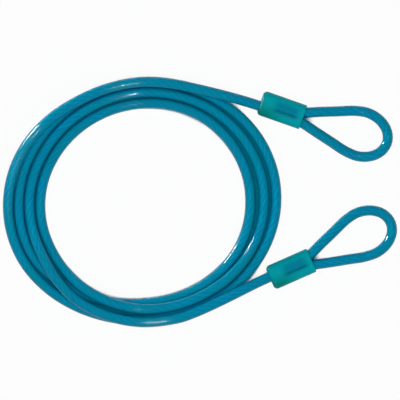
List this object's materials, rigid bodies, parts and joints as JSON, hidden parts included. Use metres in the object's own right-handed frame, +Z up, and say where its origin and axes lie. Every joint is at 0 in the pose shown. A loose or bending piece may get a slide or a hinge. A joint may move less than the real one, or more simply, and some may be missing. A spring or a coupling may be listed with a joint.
{
  "type": "cable lock",
  "caption": "Security cable: a steel wire rope in a clear blue vinyl jacket, laid in a flat oval coil, each end folded into an eye and crimped under a teal plastic sleeve.",
  "frame": {"origin": "middle of the whole outline seen from above, on the surface that the cable lies on", "axes": "+X from the coil towards the two eyes, +Y from the lower eye towards the upper eye, +Z up from the surface"},
  "size_m": [0.3786, 0.2406, 0.0203],
  "materials": {
    "rope_wire": "stranded wire, drawn and galvanised",
    "vinyl_jacket": "extruded translucent vinyl, glossy",
    "ferrule_metal": "pressed, satin",
    "sleeve_plastic": "moulded translucent plastic, satin gloss"
  },
  "bodies": {
    "root": {"wire_rope": "rope_wire", "main_jacket": "vinyl_jacket", "upper_eye_jacket": "vinyl_jacket", "lower_eye_jacket": "vinyl_jacket", "upper_ferrule": "ferrule_metal", "lower_ferrule": "ferrule_metal", "upper_sleeve": "sleeve_plastic", "lower_sleeve": "sleeve_plastic"}
  },
  "joints": []
}
